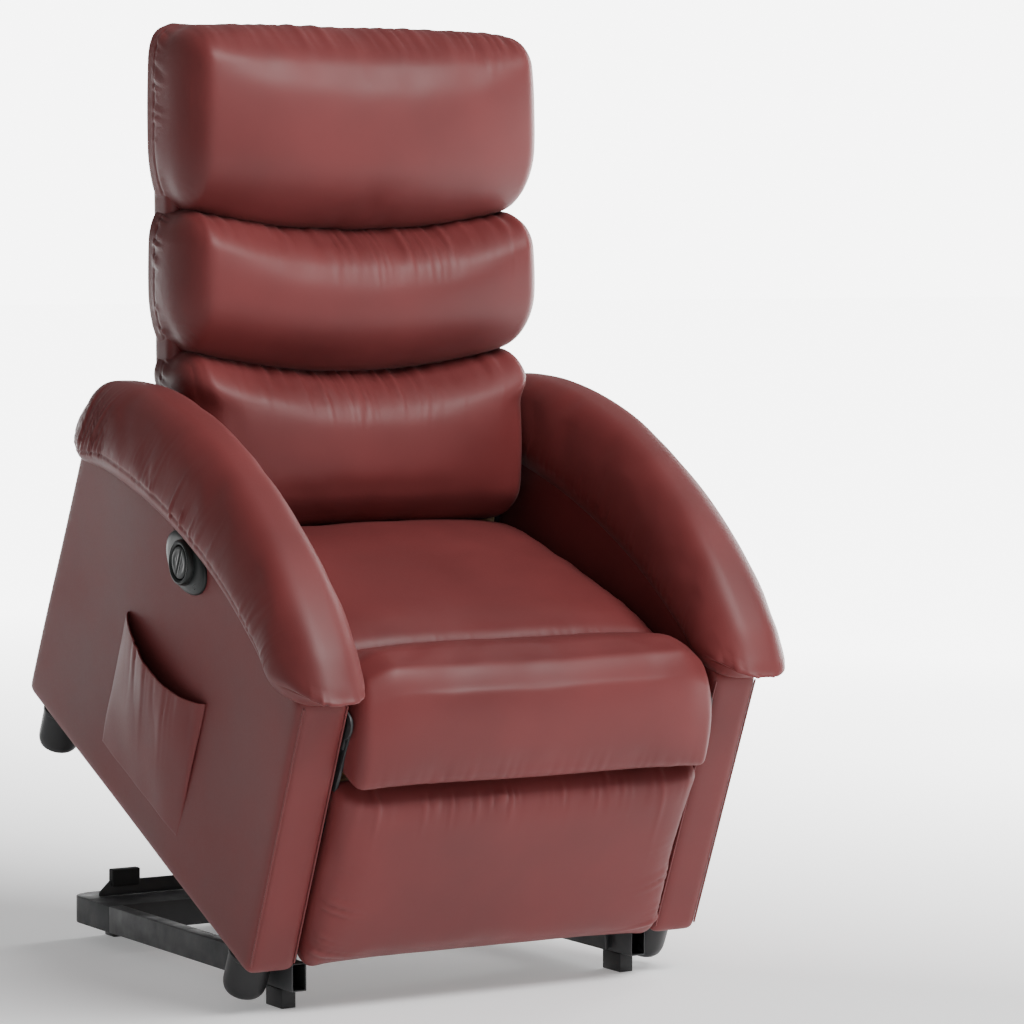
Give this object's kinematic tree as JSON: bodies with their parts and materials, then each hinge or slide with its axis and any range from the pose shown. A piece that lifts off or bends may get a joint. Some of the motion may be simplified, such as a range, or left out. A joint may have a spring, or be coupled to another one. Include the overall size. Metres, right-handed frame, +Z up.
{
  "type": "lift recliner chair",
  "caption": "Power lift recliner: leather armchair on a steel floor frame, shown raised, with reclining back, swing-out footrest, side pocket and hand switch.",
  "frame": {"origin": "on the floor, under the middle of the whole chair's box as it stands raised", "axes": "+Z up, -Y the way the sitter faces, +X to the sitter's left"},
  "size_m": [0.77, 0.9074, 1.3051],
  "materials": {
    "leather": "satin",
    "black_steel": "satin",
    "zinc_steel": "satin",
    "black_plastic": "satin",
    "rubber": "matte",
    "plywood": "matte"
  },
  "bodies": {
    "base": {"base_rail_left": "black_steel", "base_rail_right": "black_steel", "base_rear_beam": "black_steel", "base_cross_tube": "black_steel", "base_upright_left": "black_steel", "base_upright_right": "black_steel", "base_foot_front_left": "black_plastic", "base_foot_front_right": "black_plastic", "base_foot_rear_left": "black_plastic", "base_foot_rear_right": "black_plastic", "base_riser": "black_steel", "stop_block_left": "rubber", "stop_block_right": "rubber", "actuator_base_pin": "zinc_steel"},
    "front_links": {"front_link_left": "zinc_steel", "front_link_right": "zinc_steel"},
    "rear_links": {"rear_link_left": "zinc_steel", "rear_link_right": "zinc_steel", "torque_tube": "black_steel"},
    "actuator": {"actuator_housing": "black_steel"},
    "actuator_rod": {"actuator_rod": "zinc_steel"},
    "carriage": {"chassis_rail_left": "black_steel", "chassis_rail_right": "black_steel", "chassis_crossbar": "black_steel", "seat_rail_front": "plywood", "seat_rail_rear": "plywood", "seat_spring_1": "zinc_steel", "seat_spring_2": "zinc_steel", "seat_spring_3": "zinc_steel", "side_panel_left": "leather", "side_panel_right": "leather", "arm_pad_left": "leather", "arm_pad_right": "leather", "seat_cushion": "leather", "seat_front_roll": "leather", "rear_panel": "leather", "control_box": "black_plastic", "power_inlet": "black_plastic", "foot_front_left": "black_plastic", "foot_front_right": "black_plastic", "foot_rear_left": "black_plastic", "foot_rear_right": "black_plastic", "storage_pocket": "leather", "switch_bezel": "black_plastic", "footrest_bracket_left": "black_steel", "footrest_bracket_right": "black_steel", "back_bracket_left": "black_steel", "back_bracket_right": "black_steel"},
    "button_up": {"button_up": "black_plastic"},
    "button_down": {"button_down": "black_plastic"},
    "footrest": {"footrest_board": "plywood", "footrest_pad": "leather", "footrest_arm_left": "black_steel", "footrest_arm_right": "black_steel"},
    "backrest": {"back_frame": "plywood", "back_cover": "leather", "lower_pillow": "leather", "middle_pillow": "leather", "head_pillow": "leather"}
  },
  "joints": [
    {"name": "lift", "type": "hinge", "parent": "base", "child": "front_links", "pos_m": [0, -0.153, 0.1274], "axis": [1, 0, 0], "range_deg": [-47.67, 0]},
    {"name": "chair_tilt", "type": "hinge", "parent": "front_links", "child": "carriage", "pos_m": [0, -0.08617, 0.18384], "axis": [1, 0, 0], "range_deg": [0, 22.67]},
    {"name": "rear_link_turn", "type": "hinge", "parent": "base", "child": "rear_links", "pos_m": [0, -0.1133, 0.1331], "axis": [1, 0, 0], "range_deg": [-31.34, 0]},
    {"name": "actuator_swing", "type": "hinge", "parent": "base", "child": "actuator", "pos_m": [0, 0.3537, 0.09], "axis": [1, 0, 0], "range_deg": [-1.57, 0]},
    {"name": "actuator_stroke", "type": "slide", "parent": "actuator", "child": "actuator_rod", "axis": [0, -0.955, 0.2968], "range_m": [-0.05796, 0]},
    {"name": "recline", "type": "hinge", "parent": "carriage", "child": "backrest", "pos_m": [0, 0.17615, 0.61511], "axis": [-1, 0, 0], "range_deg": [0, 33]},
    {"name": "footrest_swing", "type": "hinge", "parent": "carriage", "child": "footrest", "pos_m": [0, -0.37748, 0.39446], "axis": [-1, 0, 0], "range_deg": [0, 85]},
    {"name": "button_up_press", "type": "slide", "parent": "carriage", "child": "button_up", "axis": [1, 0, 0], "range_m": [0, 0.002], "stiffness_N_per_m": 600, "springref_m": -0.001},
    {"name": "button_down_press", "type": "slide", "parent": "carriage", "child": "button_down", "axis": [1, 0, 0], "range_m": [0, 0.002], "stiffness_N_per_m": 600, "springref_m": -0.001}
  ],
  "couplings": [
    {"joint": "chair_tilt", "follows": "lift", "ratio": -0.47558},
    {"joint": "rear_link_turn", "follows": "lift", "ratio": 0.65727},
    {"joint": "actuator_swing", "follows": "lift", "ratio": 0.032845},
    {"joint": "actuator_stroke", "follows": "lift", "m_per_rad": 0.069641}
  ]
}
